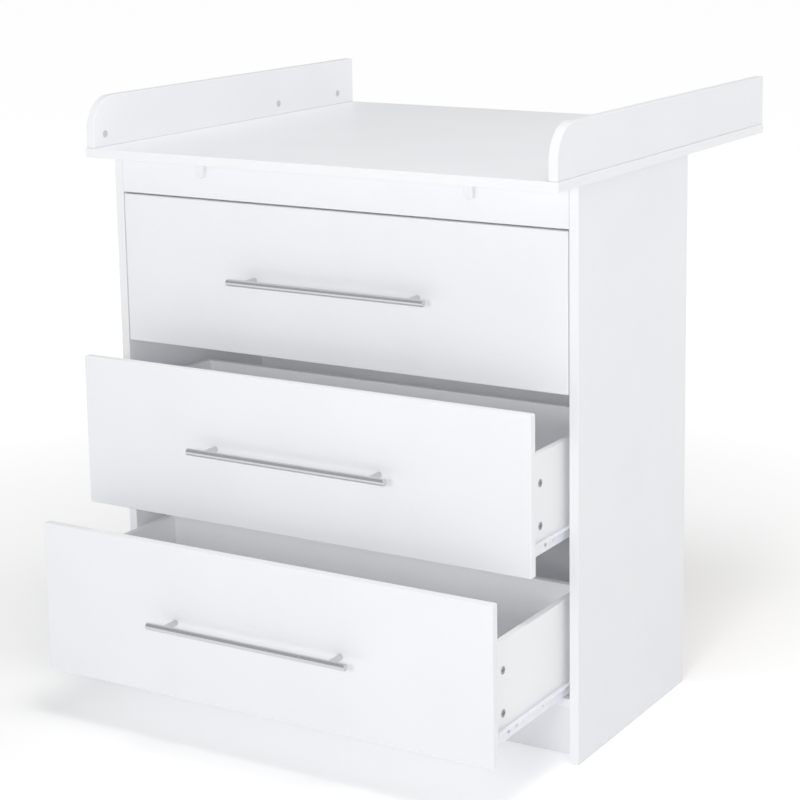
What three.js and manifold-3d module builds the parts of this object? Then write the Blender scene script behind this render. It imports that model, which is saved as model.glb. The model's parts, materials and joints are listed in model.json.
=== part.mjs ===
// Changing table: a chest of three drawers that carries a removable changing unit.
//
// Millimetres, +Z up. X runs across the chest and is 0 in its middle. The drawer fronts face -Y.
// The chest is drawn with its front plane at Y = 0 and the floor at Z = 0; the last section then
// moves the whole assembly along Y, so that its origin lies under the middle of its bounding box.
// The top drawer is shut, the middle one is half open and the bottom one is almost at its stop.

import * as THREE from "three";
import { mergeVertices } from "three/addons/utils/BufferGeometryUtils.js";
import Module from "manifold-3d";

// ---------------------------------------------------------------- driving dimensions

const touchGap = 0.3; // left between any two pieces that bear on each other

// Chest
const boardThickness = 16;
const chestWidth = 900;
const chestDepth = 408;
const chestHeight = 940; // floor to the top edge of the side panels
const railHeight = 67;
const plinthHeight = 85.5; // floor to the underside of the bottom panel
const plinthSetback = 31;
const backThickness = 3;
const backInset = 10; // from the side panels' rear edges to the back panel
const backGrooveDepth = 6;

// Changing unit
const topSideOverhang = 3;
const topFrontOverhang = 72;
const topDepth = 808;
const sideBoardHeight = 86;
const sideBoardInset = 2; // from the changing board's side and front edges
const sideBoardCorner = 57; // radius of the top front corner
const stopBlock = { width: 16, depth: 11, height: 30, chamfer: 2, fromMiddle: 261 };

// Drawer fronts and boxes
const drawers = [
  { name: "top", opened: 0 }, // share of the full travel
  { name: "middle", opened: 0.496 },
  { name: "bottom", opened: 0.984 },
];
const frontGap = 3.5; // above and between the fronts
const frontSideGap = 2;
const frontEdgeRadius = 2;
const frontStopGap = 0.5; // shut front to the bottom panel's front edge
const wallThickness = 12;
const wallHeight = 160;
const wallLift = 26; // from the front's lower edge to the walls' lower edge
const boxRearClearance = 61; // shut drawer box to the chest's back panel
const boxHeldLength = 67.7; // of a drawer box, behind the chest's front plane at full travel
const bottomThickness = 3;
const bottomGrooveDepth = 6;
const bottomGrooveLift = 8; // from the walls' lower edge to the groove

// Roller runners, in the slot between drawer wall and side panel
const runnerSlot = 12.5;
const steel = 1.2;
const drawerWebHeight = 20; // drawer profile, above the walls' lower edge
const rollerRadius = 8.5;
const rollerChamfer = 0.8;
const rollerRunningGap = 0.15; // roller to the flange that it carries or runs on
const rollerBoreGap = 0.3;
const rollerEndPlay = 0.3; // roller to the head of its pin
const pinRadius = 2;
const pinHeadRadius = 3.6;
const pinHeadThickness = 0.6;
const pinHeadClearance = 0.85; // pin head to the web that it faces
const channelHeadroom = 1; // drawer flange to the channel's upper flange
const channelFootroom = 1; // channel's lower flange to the front roller
const profileSideGap = 1; // drawer profile's web to the channel's flanges
const runnerFrontInset = 2; // behind the back face of a shut front
const rollerEndInset = 12; // roller axis from the end of its own profile
const screwHoleRadius = 2.2;
const screwHoleCount = 3;
const screwHoleEndInset = 45; // first and last hole from the profile's ends

// T-bar handle
const handleLength = 384;
const handleRadius = 6;
const handleEndChamfer = 0.8;
const handlePostInset = 32; // from the bar's ends to the posts
const handlePostRadius = 5;
const handleStandOff = 34; // from the front's face to the bar's axis

// ---------------------------------------------------------------- places worked out from them

const sidePanelInner = chestWidth / 2 - boardThickness;
const topHalfWidth = chestWidth / 2 + topSideOverhang;
const topUnderside = chestHeight + touchGap;
const topSurface = topUnderside + boardThickness;
const topFrontY = -topFrontOverhang;
const topRearY = topDepth - topFrontOverhang;
const railUnderside = chestHeight - railHeight;
const backFrontY = chestDepth - backInset - backThickness;
const frontHeight = (railUnderside - plinthHeight) / drawers.length - frontGap;
const frontHalfWidth = sidePanelInner - frontSideGap;
const boxFrontY = boardThickness + touchGap;
const boxRearY = backFrontY - boxRearClearance;
const boxHalfWidth = sidePanelInner - runnerSlot;
const bottomGrooveBase = wallLift + bottomGrooveLift;
const bottomGrooveTop = bottomGrooveBase + bottomThickness + 2 * touchGap;
const drawerWebOuterX = boxHalfWidth + touchGap + steel;
const channelWebInnerX = sidePanelInner - touchGap - steel;
const rollerMiddleX = (drawerWebOuterX + channelWebInnerX) / 2;
const pinHeadRoom = pinHeadClearance + pinHeadThickness + rollerEndPlay;
const rollerWidth = channelWebInnerX - drawerWebOuterX - 2 * pinHeadRoom;

// Heights in a runner, from the drawer front's lower edge. The drawer's upper flange lies on the
// front roller; the rear roller runs on the channel's lower flange.
const drawerFlangeTop = wallLift + drawerWebHeight;
const frontRollerZ = drawerFlangeTop - steel - rollerRunningGap - rollerRadius;
const channelFloor = frontRollerZ - rollerRadius - channelFootroom;
const rearRollerZ = channelFloor + rollerRunningGap + rollerRadius;
const channelCeiling = drawerFlangeTop + channelHeadroom;

const runnerFrontY = boxFrontY + runnerFrontInset;
const frontRollerY = runnerFrontY + rollerEndInset;
const rearRollerY = boxRearY - rollerEndInset;

const fullTravel = boxRearY - boxFrontY - boxHeldLength;

const lowerEdgeOfFront = (index) => railUnderside - (index + 1) * (frontHeight + frontGap);

// ---------------------------------------------------------------- materials

const surface = (color, roughness, metalness) =>
  new THREE.MeshStandardMaterial({ color, roughness, metalness });

const melamine = () => surface(0xf0f1f3, 0.45, 0);
const hardboard = () => surface(0xe4e6e8, 0.6, 0);
const coatedSteel = () => surface(0xe9edf2, 0.35, 0.1);
const nylon = () => surface(0xe6e6e2, 0.5, 0);
const stainlessSteel = () => surface(0xb6b7bb, 0.32, 1);
const polyethylene = () => surface(0xe2e4e7, 0.5, 0);

// ---------------------------------------------------------------- solids

const axis = {
  x: new THREE.Vector3(1, 0, 0),
  y: new THREE.Vector3(0, 1, 0),
  z: new THREE.Vector3(0, 0, 1),
};

function named(name, geometry, material) {
  const mesh = new THREE.Mesh(geometry, material);
  mesh.name = name;
  return mesh;
}

// A flat board between two values on each axis.
function board(name, material, [x0, x1], [y0, y1], [z0, z1]) {
  const mesh = named(name, new THREE.BoxGeometry(x1 - x0, y1 - y0, z1 - z0), material);
  mesh.position.set((x0 + x1) / 2, (y0 + y1) / 2, (z0 + z1) / 2);
  return mesh;
}

function outline(points) {
  return new THREE.Shape(points.map(([u, v]) => new THREE.Vector2(u, v)));
}

function extrude(shape, length) {
  return new THREE.ExtrudeGeometry(shape, { depth: length, bevelEnabled: false, curveSegments: 12 });
}

// A section drawn in Y and Z, carried along X.
function alongX(shape, x0, x1) {
  const turn = new THREE.Matrix4().makeBasis(axis.y, axis.z, axis.x);
  return extrude(shape, x1 - x0).applyMatrix4(turn).translate(x0, 0, 0);
}

// A section drawn in X and Z, carried along Y.
function alongY(shape, y0, y1) {
  const turn = new THREE.Matrix4().makeBasis(axis.x, axis.z, axis.y.clone().negate());
  return extrude(shape, y1 - y0).applyMatrix4(turn).translate(0, y1, 0);
}

// A section drawn in X and Y, carried along Z.
function alongZ(shape, z0, z1) {
  return extrude(shape, z1 - z0).translate(0, 0, z0);
}

// A round solid on an axis parallel to X. The profile is a list of [x, radius].
function turnedOnX(profile, y, z, sides) {
  const points = profile.map(([x, radius]) => new THREE.Vector2(radius, -x));
  return new THREE.LatheGeometry(points, sides).rotateZ(Math.PI / 2).translate(0, y, z);
}

const rod = (x0, x1, radius, y, z, sides) =>
  turnedOnX([[x1, 0], [x1, radius], [x0, radius], [x0, 0]], y, z, sides);

const wasm = await Module();
wasm.setup();

function toSolid(geometry) {
  const bare = geometry.clone();
  bare.deleteAttribute("normal");
  bare.deleteAttribute("uv");
  const merged = mergeVertices(bare, 1e-4);
  return new wasm.Manifold(
    new wasm.Mesh({
      numProp: 3,
      vertProperties: new Float32Array(merged.attributes.position.array),
      triVerts: new Uint32Array(merged.index.array),
    }),
  );
}

function toGeometry(solid) {
  const { vertProperties, triVerts } = solid.getMesh();
  const geometry = new THREE.BufferGeometry();
  geometry.setAttribute("position", new THREE.BufferAttribute(vertProperties, 3));
  geometry.setIndex(new THREE.BufferAttribute(triVerts, 1));
  geometry.computeVertexNormals();
  return geometry;
}

// Joins the first list of geometries and cuts the second list out of it.
function joinAndCut(joined, cuts = []) {
  const whole = joined.map(toSolid).reduce((sum, solid) => sum.add(solid));
  return toGeometry(cuts.map(toSolid).reduce((rest, solid) => rest.subtract(solid), whole));
}

// The two hands of a mirrored pair: sign is the side of X = 0 that the piece is on.
const hands = [
  { side: "left", sign: -1 },
  { side: "right", sign: 1 },
];

// A mirrored section keeps its direction of travel, so that its faces still point outwards.
const mirrored = (points, sign) =>
  sign > 0 ? points : points.map(([u, v]) => [-u, v]).reverse();

// ---------------------------------------------------------------- carcass

// Side panel with a groove for the back panel down the whole of its inner face.
function sidePanel({ side, sign }) {
  const inner = sidePanelInner;
  const grooveFloor = inner + backGrooveDepth;
  const grooveFront = backFrontY - touchGap;
  const grooveRear = backFrontY + backThickness + touchGap;
  const section = [
    [inner, 0],
    [chestWidth / 2, 0],
    [chestWidth / 2, chestDepth],
    [inner, chestDepth],
    [inner, grooveRear],
    [grooveFloor, grooveRear],
    [grooveFloor, grooveFront],
    [inner, grooveFront],
  ];
  const shape = outline(mirrored(section, sign));
  return named(`side_panel_${side}`, alongZ(shape, 0, chestHeight), melamine());
}

function carcass() {
  const between = [-sidePanelInner + touchGap, sidePanelInner - touchGap];
  const backHalfWidth = sidePanelInner + backGrooveDepth - touchGap;
  const panelRearY = backFrontY - touchGap;
  const railRearY = boardThickness;
  const topPanelBase = chestHeight - boardThickness;
  const bottomPanelTop = plinthHeight + boardThickness;
  return [
    ...hands.map(sidePanel),
    board("carcass_top_panel", melamine(), between,
      [railRearY + touchGap, panelRearY], [topPanelBase, chestHeight]),
    board("front_rail", melamine(), between, [0, railRearY], [railUnderside, chestHeight]),
    board("bottom_panel", melamine(), between,
      [boardThickness + frontStopGap, panelRearY], [plinthHeight, bottomPanelTop]),
    board("plinth_board", melamine(), between,
      [plinthSetback, plinthSetback + boardThickness], [0, plinthHeight - touchGap]),
    board("back_panel", hardboard(), [-backHalfWidth, backHalfWidth],
      [backFrontY, backFrontY + backThickness], [plinthHeight, chestHeight]),
  ];
}

// ---------------------------------------------------------------- changing unit

function changingSideBoard({ side, sign }) {
  const outer = topHalfWidth - sideBoardInset;
  const front = topFrontY + sideBoardInset;
  const base = topSurface + touchGap;
  const top = base + sideBoardHeight;
  const shape = new THREE.Shape();
  shape.moveTo(front, base);
  shape.lineTo(topRearY, base);
  shape.lineTo(topRearY, top);
  shape.lineTo(front + sideBoardCorner, top);
  shape.absarc(front + sideBoardCorner, top - sideBoardCorner, sideBoardCorner,
    Math.PI / 2, Math.PI, false);
  const [x0, x1] = [sign * outer, sign * (outer - boardThickness)].sort((a, b) => a - b);
  return named(`changing_side_board_${side}`, alongX(shape, x0, x1), melamine());
}

// A stop block hangs under the changing board and bears on the chest's front or rear face.
function changingStopBlock({ side, sign }, place, faceY, outward) {
  const { width, depth, height, chamfer, fromMiddle } = stopBlock;
  const near = faceY + outward * touchGap;
  const far = near + outward * depth;
  const top = topUnderside - touchGap;
  const foot = top - height;
  const section = [
    [near, top],
    [near, foot + chamfer],
    [near + outward * chamfer, foot],
    [far - outward * chamfer, foot],
    [far, foot + chamfer],
    [far, top],
  ];
  const middle = sign * fromMiddle;
  const shape = outline(outward > 0 ? section : section.reverse());
  const geometry = alongX(shape, middle - width / 2, middle + width / 2);
  return named(`stop_block_${place}_${side}`, geometry, polyethylene());
}

function changingUnit() {
  return [
    board("changing_board", melamine(), [-topHalfWidth, topHalfWidth],
      [topFrontY, topRearY], [topUnderside, topSurface]),
    ...hands.map(changingSideBoard),
    ...hands.map((hand) => changingStopBlock(hand, "front", 0, -1)),
    ...hands.map((hand) => changingStopBlock(hand, "rear", chestDepth, 1)),
  ];
}

// ---------------------------------------------------------------- drawer boxes
// A drawer is drawn shut, with Z = 0 at the lower edge of its front.

// Front with rounded long edges and a groove for the drawer bottom in its back face.
function drawerFront(name) {
  const r = frontEdgeRadius;
  const rear = boardThickness;
  const grooveFloor = rear - bottomGrooveDepth;
  const shape = new THREE.Shape();
  shape.moveTo(0, frontHeight - r);
  shape.absarc(r, r, r, Math.PI, Math.PI * 1.5, false);
  shape.absarc(rear - r, r, r, Math.PI * 1.5, Math.PI * 2, false);
  shape.lineTo(rear, bottomGrooveBase);
  shape.lineTo(grooveFloor, bottomGrooveBase);
  shape.lineTo(grooveFloor, bottomGrooveTop);
  shape.lineTo(rear, bottomGrooveTop);
  shape.absarc(rear - r, frontHeight - r, r, 0, Math.PI / 2, false);
  shape.absarc(r, frontHeight - r, r, Math.PI / 2, Math.PI, false);
  const geometry = alongX(shape, -frontHalfWidth, frontHalfWidth);
  return named(`drawer_${name}_front`, geometry, melamine());
}

// Side wall with a groove for the drawer bottom along its inner face.
function drawerWall(name, { side, sign }) {
  const outer = boxHalfWidth;
  const inner = boxHalfWidth - wallThickness;
  const grooveFloor = inner + bottomGrooveDepth;
  const section = [
    [inner, wallLift],
    [outer, wallLift],
    [outer, wallLift + wallHeight],
    [inner, wallLift + wallHeight],
    [inner, bottomGrooveTop],
    [grooveFloor, bottomGrooveTop],
    [grooveFloor, bottomGrooveBase],
    [inner, bottomGrooveBase],
  ];
  const geometry = alongY(outline(mirrored(section, sign)), boxFrontY, boxRearY);
  return named(`drawer_${name}_wall_${side}`, geometry, melamine());
}

// The bottom slides in from behind, under the back wall.
function drawerBottomAndBack(name) {
  const backHalfWidth = boxHalfWidth - wallThickness - touchGap;
  const bottomHalfWidth = boxHalfWidth - wallThickness + bottomGrooveDepth - touchGap;
  const bottomFrontY = boardThickness - bottomGrooveDepth + touchGap;
  const bottomBase = bottomGrooveBase + touchGap;
  return [
    board(`drawer_${name}_back`, melamine(), [-backHalfWidth, backHalfWidth],
      [boxRearY - wallThickness, boxRearY], [bottomGrooveTop, wallLift + wallHeight]),
    board(`drawer_${name}_bottom`, hardboard(), [-bottomHalfWidth, bottomHalfWidth],
      [bottomFrontY, boxRearY], [bottomBase, bottomBase + bottomThickness]),
  ];
}

// One bar on two posts, which are screwed from inside the front.
function drawerHandle(name) {
  const half = handleLength / 2;
  const c = handleEndChamfer;
  const z = frontHeight / 2;
  const y = -handleStandOff;
  const profile = [
    [half, 0],
    [half, handleRadius - c],
    [half - c, handleRadius],
    [-half + c, handleRadius],
    [-half, handleRadius - c],
    [-half, 0],
  ];
  const bar = turnedOnX(profile, y, z, 24);
  const postLength = handleStandOff - touchGap;
  const posts = hands.map(({ sign }) =>
    new THREE.CylinderGeometry(handlePostRadius, handlePostRadius, postLength, 20)
      .translate(sign * (half - handlePostInset), y + postLength / 2, z));
  return named(`drawer_${name}_handle`, joinAndCut([bar, ...posts]), stainlessSteel());
}

// ---------------------------------------------------------------- roller runners

// Evenly spaced holes through a web, for the screws into the panel or wall behind it.
function screwHoles(sign, webX, z) {
  const first = runnerFrontY + screwHoleEndInset;
  const last = boxRearY - screwHoleEndInset;
  const pitch = (last - first) / (screwHoleCount - 1);
  return Array.from({ length: screwHoleCount }, (_, index) =>
    rod(sign * webX - steel, sign * webX + steel, screwHoleRadius, first + index * pitch, z, 12));
}

// A riveted pin from a web to its flat head; towards is the side of X that the head is on.
function rivetedPin(webX, headX, y, z) {
  const inX = (a, b, radius, sides) => rod(Math.min(a, b), Math.max(a, b), radius, y, z, sides);
  const headInnerX = headX - Math.sign(headX - webX) * pinHeadThickness;
  return [inX(webX, headX, pinRadius, 16), inX(headInnerX, headX, pinHeadRadius, 16)];
}

// Drawer profile: a flange under the wall, a web on its outer face and a flange out over the
// rollers, with the rear roller's pin.
function drawerRunner(name, { side, sign }) {
  const webInner = boxHalfWidth + touchGap;
  const webOuter = drawerWebOuterX;
  const flangeOuter = rollerMiddleX + rollerWidth / 2;
  const footInner = boxHalfWidth - wallThickness;
  const footTop = wallLift - touchGap;
  const section = [
    [footInner, footTop - steel],
    [webOuter, footTop - steel],
    [webOuter, drawerFlangeTop - steel],
    [flangeOuter, drawerFlangeTop - steel],
    [flangeOuter, drawerFlangeTop],
    [webInner, drawerFlangeTop],
    [webInner, footTop],
    [footInner, footTop],
  ];
  const profile = alongY(outline(mirrored(section, sign)), runnerFrontY, boxRearY);
  const pinHeadX = channelWebInnerX - pinHeadClearance;
  const pin = rivetedPin(sign * (webInner + steel / 2), sign * pinHeadX, rearRollerY, rearRollerZ);
  const holes = screwHoles(sign, webInner + steel / 2, frontRollerZ);
  return named(`drawer_${name}_runner_${side}`, joinAndCut([profile, ...pin], holes), coatedSteel());
}

// Cabinet profile: a channel on the side panel, open towards the drawer, with the front
// roller's pin.
function cabinetRunner(name, { side, sign }) {
  const webOuter = sidePanelInner - touchGap;
  const webInner = channelWebInnerX;
  const flangeInner = drawerWebOuterX + profileSideGap;
  const section = [
    [flangeInner, channelFloor - steel],
    [webOuter, channelFloor - steel],
    [webOuter, channelCeiling + steel],
    [flangeInner, channelCeiling + steel],
    [flangeInner, channelCeiling],
    [webInner, channelCeiling],
    [webInner, channelFloor],
    [flangeInner, channelFloor],
  ];
  const profile = alongY(outline(mirrored(section, sign)), runnerFrontY, boxRearY);
  const pinHeadX = drawerWebOuterX + pinHeadClearance;
  const pin = rivetedPin(sign * (webInner + steel / 2), sign * pinHeadX, frontRollerY, frontRollerZ);
  const holes = screwHoles(sign, webInner + steel / 2, frontRollerZ);
  return named(`cabinet_runner_${name}_${side}`, joinAndCut([profile, ...pin], holes), coatedSteel());
}

// A nylon roller with a plain bore.
function roller(nodeName, sign, y, z) {
  const bore = pinRadius + rollerBoreGap;
  const half = rollerWidth / 2;
  const c = rollerChamfer;
  const middle = sign * rollerMiddleX;
  const profile = [
    [middle + half, bore],
    [middle + half, rollerRadius - c],
    [middle + half - c, rollerRadius],
    [middle - half + c, rollerRadius],
    [middle - half, rollerRadius - c],
    [middle - half, bore],
    [middle + half, bore],
  ];
  return named(nodeName, turnedOnX(profile, y, z, 20), nylon());
}

// ---------------------------------------------------------------- assembly

// Everything of a drawer that slides with it.
function drawer({ name, opened }, lowerEdge) {
  const group = new THREE.Group();
  group.position.set(0, -opened * fullTravel, lowerEdge);
  group.add(
    drawerFront(name),
    ...hands.map((hand) => drawerWall(name, hand)),
    ...drawerBottomAndBack(name),
    drawerHandle(name),
    ...hands.map((hand) => drawerRunner(name, hand)),
    ...hands.map(({ side, sign }) =>
      roller(`drawer_${name}_roller_${side}`, sign, rearRollerY, rearRollerZ)),
  );
  return group;
}

// The channels and front rollers that carry one drawer.
function drawerBay({ name }, lowerEdge) {
  const group = new THREE.Group();
  group.position.z = lowerEdge;
  group.add(
    ...hands.map((hand) => cabinetRunner(name, hand)),
    ...hands.map(({ side, sign }) =>
      roller(`cabinet_roller_${name}_${side}`, sign, frontRollerY, frontRollerZ)),
  );
  return group;
}

const changingTable = new THREE.Group();
changingTable.add(...carcass(), ...changingUnit());
drawers.forEach((one, index) => {
  const lowerEdge = lowerEdgeOfFront(index);
  changingTable.add(drawer(one, lowerEdge), drawerBay(one, lowerEdge));
});

// The bounding box runs from the most open drawer's handle to the changing board's rear edge.
const mostOpened = Math.max(...drawers.map(({ opened }) => opened));
const foremostY = -mostOpened * fullTravel - handleStandOff - handleRadius;
changingTable.position.y = -(foremostY + topRearY) / 2;

export default changingTable;
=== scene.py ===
"""Changing table: a white chest of three drawers under a changing board with two side boards."""

import json
import math

import bmesh
import bpy
from mathutils import Matrix, Vector


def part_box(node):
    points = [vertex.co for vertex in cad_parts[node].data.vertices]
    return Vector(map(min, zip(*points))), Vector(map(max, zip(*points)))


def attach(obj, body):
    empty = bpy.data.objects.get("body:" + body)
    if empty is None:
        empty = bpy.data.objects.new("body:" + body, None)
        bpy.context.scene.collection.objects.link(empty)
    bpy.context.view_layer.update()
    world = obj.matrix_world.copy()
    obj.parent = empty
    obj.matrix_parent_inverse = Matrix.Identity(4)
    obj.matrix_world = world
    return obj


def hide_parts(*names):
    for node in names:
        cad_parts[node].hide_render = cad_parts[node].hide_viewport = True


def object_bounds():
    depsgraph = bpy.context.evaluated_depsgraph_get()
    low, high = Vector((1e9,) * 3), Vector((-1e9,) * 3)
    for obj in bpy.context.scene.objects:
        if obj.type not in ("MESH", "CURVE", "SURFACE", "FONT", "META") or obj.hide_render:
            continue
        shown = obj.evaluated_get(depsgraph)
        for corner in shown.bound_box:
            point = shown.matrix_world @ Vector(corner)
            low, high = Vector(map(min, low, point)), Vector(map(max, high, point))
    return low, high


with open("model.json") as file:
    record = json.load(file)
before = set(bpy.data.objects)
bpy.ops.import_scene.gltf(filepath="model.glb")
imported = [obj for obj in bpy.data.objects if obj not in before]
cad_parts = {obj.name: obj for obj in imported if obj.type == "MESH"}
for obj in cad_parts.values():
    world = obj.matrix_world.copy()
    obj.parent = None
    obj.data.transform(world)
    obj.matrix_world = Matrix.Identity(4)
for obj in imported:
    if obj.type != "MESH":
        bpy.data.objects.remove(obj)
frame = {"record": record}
cad_low, cad_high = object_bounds()

# ---------------------------------------------------------------- camera
# A view camera with a long lens stands at the front right, a little above the changing board.
# Its back is shifted down and sideways, which keeps the uprights close to upright.

camera_data = bpy.data.cameras.new("view_camera")
camera_data.sensor_width = 36
camera_data.lens = 94.83
camera_data.shift_x = -0.1
camera_data.shift_y = -0.15625
camera = bpy.data.objects.new("view_camera", camera_data)
bpy.context.scene.collection.objects.link(camera)
camera.matrix_world = (
    Matrix.Translation((1.8906, -3.0596, 1.4205))
    @ Matrix.Rotation(math.radians(29.664), 4, "Z")
    @ Matrix.Rotation(math.radians(90 - 10.974), 4, "X")
    @ Matrix.Rotation(math.radians(-0.518), 4, "Z")
)
bpy.context.scene.camera = camera

# ---------------------------------------------------------------- side panels
# Two boards of chipboard pressed between sheets of white melamine, sawn to size, then edged with
# ABS strip along the front and top. The saw leaves the rear and bottom edges raw. A groove near
# the rear edge takes the back panel.

MM = 0.001
TOUCH = 0.001 * MM


def linear(hex_colour):
    """An sRGB hex colour as the linear values that a shader takes."""
    parts = [int(hex_colour[i : i + 2], 16) / 255 for i in (1, 3, 5)]
    curve = [p / 12.92 if p <= 0.04045 else ((p + 0.055) / 1.055) ** 2.4 for p in parts]
    return (*curve, 1.0)


def add_node(tree, kind, settings, links=None):
    """A new node with its settings, and the sockets that feed its inputs."""
    node = tree.nodes.new(kind)
    for name, value in settings.items():
        if isinstance(name, int) or name in node.inputs:
            node.inputs[name].default_value = value
        else:
            setattr(node, name, value)
    for name, socket in (links or {}).items():
        tree.links.new(socket, node.inputs[name])
    return node


def new_finish(name, **shader_values):
    """A material with its node tree, its shader and the object's own coordinates."""
    finish = bpy.data.materials.new(name)
    finish.use_nodes = True
    tree = finish.node_tree
    shader = next(n for n in tree.nodes if n.type == "BSDF_PRINCIPLED")
    for socket, value in shader_values.items():
        shader.inputs[socket.replace("_", " ")].default_value = value
    place = add_node(tree, "ShaderNodeTexCoord", {}).outputs["Object"]
    return finish, tree, shader, place


def lay_surface(tree, shader, tones, gloss, relief=None):
    """Two colours, a range of roughness and a relief, each driven by the socket that ends it."""
    light, dark, driver = tones
    colour = add_node(
        tree,
        "ShaderNodeMix",
        {"data_type": "RGBA", 6: linear(light), 7: linear(dark)},
        {0: driver},
    )
    tree.links.new(colour.outputs[2], shader.inputs["Base Color"])
    low, high, driver = gloss
    sheen = add_node(
        tree,
        "ShaderNodeMapRange",
        {"From Min": 0.3, "From Max": 0.7, "To Min": low, "To Max": high},
        {"Value": driver},
    )
    tree.links.new(sheen.outputs["Result"], shader.inputs["Roughness"])
    if relief:
        strength, height, driver = relief
        bump = add_node(
            tree, "ShaderNodeBump", {"Strength": strength, "Distance": height}, {"Height": driver}
        )
        tree.links.new(bump.outputs["Normal"], shader.inputs["Normal"])


# Melamine-faced chipboard: printed paper soaked in melamine resin and pressed hot against a
# pearl-textured plate. The eye gets an even, faintly cool white with a satin sheen that breaks up
# on fine pimples. They are 1 mm apart on the board, and 3 mm apart here, so that they show.
def melamine(name, light, dark):
    finish, tree, shader, place = new_finish(name, IOR=1.5)
    cloudy = add_node(tree, "ShaderNodeTexNoise", {"Scale": 6, "Detail": 3}, {"Vector": place})
    grain = add_node(tree, "ShaderNodeTexNoise", {"Scale": 140, "Detail": 4}, {"Vector": place})
    blend = add_node(
        tree,
        "ShaderNodeMath",
        {"operation": "MULTIPLY_ADD", 1: 0.35},
        {0: grain.outputs["Fac"], 2: cloudy.outputs["Fac"]},
    )
    tone = add_node(
        tree,
        "ShaderNodeMapRange",
        {"From Min": 0.4, "From Max": 0.95, "To Min": 0.0, "To Max": 1.0},
        {"Value": blend.outputs[0]},
    )
    pearl = add_node(tree, "ShaderNodeTexVoronoi", {"Scale": 330}, {"Vector": place})
    lay_surface(
        tree,
        shader,
        (light, dark, tone.outputs["Result"]),
        (0.36, 0.48, grain.outputs["Fac"]),
        (0.35, 0.05 * MM, pearl.outputs["Distance"]),
    )
    return finish


# ABS edging: strip extruded through a die, glued on hot, then trimmed and scraped flush. It is
# smoother and a little glossier than the melamine, with faint lines along its length. The lines
# are 0.3 mm apart on the strip and about 2 mm apart here.
def abs_edging(run):
    finish, tree, shader, place = new_finish("abs_edging_along_" + "xyz"[run], IOR=1.53)
    stretch = [420, 420, 420]
    stretch[run] = 9
    lines = add_node(
        tree,
        "ShaderNodeTexNoise",
        {"Scale": 1, "Detail": 2},
        {
            "Vector": add_node(
                tree, "ShaderNodeMapping", {"Scale": stretch}, {"Vector": place}
            ).outputs["Vector"]
        },
    )
    lay_surface(
        tree,
        shader,
        ("#E9EAED", "#E3E4E8", lines.outputs["Fac"]),
        (0.26, 0.38, lines.outputs["Fac"]),
        (0.25, 0.04 * MM, lines.outputs["Fac"]),
    )
    return finish


# Sawn chipboard: spruce flakes pressed with resin, cut by a fine saw. The eye gets straw and tan
# flakes 2 to 6 mm long, with dark pits between them.
def sawn_chipboard():
    finish, tree, shader, place = new_finish("sawn_chipboard", IOR=1.5)
    flake = add_node(
        tree, "ShaderNodeTexVoronoi", {"Scale": 260, "Randomness": 1}, {"Vector": place}
    )
    shade = add_node(
        tree,
        "ShaderNodeSeparateColor",
        {},
        {"Color": flake.outputs["Color"]},
    )
    ramp = add_node(tree, "ShaderNodeValToRGB", {}, {"Fac": shade.outputs[0]})
    ramp.color_ramp.elements[0].color = linear("#8C6B45")
    ramp.color_ramp.elements[1].color = linear("#D9BF93")
    ramp.color_ramp.elements.new(0.45).color = linear("#BD9C6C")
    dust = add_node(tree, "ShaderNodeTexNoise", {"Scale": 900, "Detail": 4}, {"Vector": place})
    relief = add_node(
        tree,
        "ShaderNodeBump",
        {"Strength": 0.6, "Distance": 0.0003},
        {"Height": dust.outputs["Fac"]},
    )
    rough = add_node(
        tree,
        "ShaderNodeMapRange",
        {"From Min": 0.2, "From Max": 0.8, "To Min": 0.75, "To Max": 0.95},
        {"Value": dust.outputs["Fac"]},
    )
    tree.links.new(ramp.outputs["Color"], shader.inputs["Base Color"])
    tree.links.new(rough.outputs["Result"], shader.inputs["Roughness"])
    tree.links.new(relief.outputs["Normal"], shader.inputs["Normal"])
    return finish


MELAMINE, EDGING_X, EDGING_Y, EDGING_Z, CHIPBOARD = range(5)
panel_finishes = [
    melamine("melamine", "#E6E8EC", "#E1E3E8"),
    abs_edging(0),
    abs_edging(1),
    abs_edging(2),
    sawn_chipboard(),
]
panel_edge_radius = 1.0 * MM
edging_thickness = 1.0 * MM


def verts_of(parts):
    return [part for part in parts if isinstance(part, bmesh.types.BMVert)]


def prism(outline, along):
    """A solid from a flat outline of points, carried along a vector."""
    bm = bmesh.new()
    face = bm.faces.new([bm.verts.new(point) for point in outline])
    grown = bmesh.ops.extrude_face_region(bm, geom=[face], use_keep_orig=True)["geom"]
    bmesh.ops.translate(bm, vec=along, verts=verts_of(grown))
    bmesh.ops.recalc_face_normals(bm, faces=bm.faces)
    return bm


def block(low, high):
    """A box between two corners."""
    bm = bmesh.new()
    place = Matrix.Translation((low + high) / 2) @ Matrix.Diagonal((*(high - low), 1))
    bmesh.ops.create_cube(bm, size=1, matrix=place)
    return bm


def sharp_edges(bm):
    return [e for e in bm.edges if e.calc_face_angle(0) > math.radians(60)]


def bevel(bm, edges, radius, segments=3):
    bmesh.ops.bevel(
        bm,
        geom=list(edges),
        offset=radius,
        offset_type="OFFSET",
        affect="EDGES",
        segments=segments,
        profile=0.5,
        material=-1,
        clamp_overlap=True,
    )


def outer_edges(bm, low, high):
    """The edges that lie on the edges of the box from low to high."""

    def sides(vert):
        near = 0.01 * MM
        return {
            (axis, end)
            for axis in range(3)
            for end, corner in enumerate((low, high))
            if abs(vert.co[axis] - corner[axis]) < near
        }

    return [e for e in bm.edges if len(sides(e.verts[0]) & sides(e.verts[1])) == 2]


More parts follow.
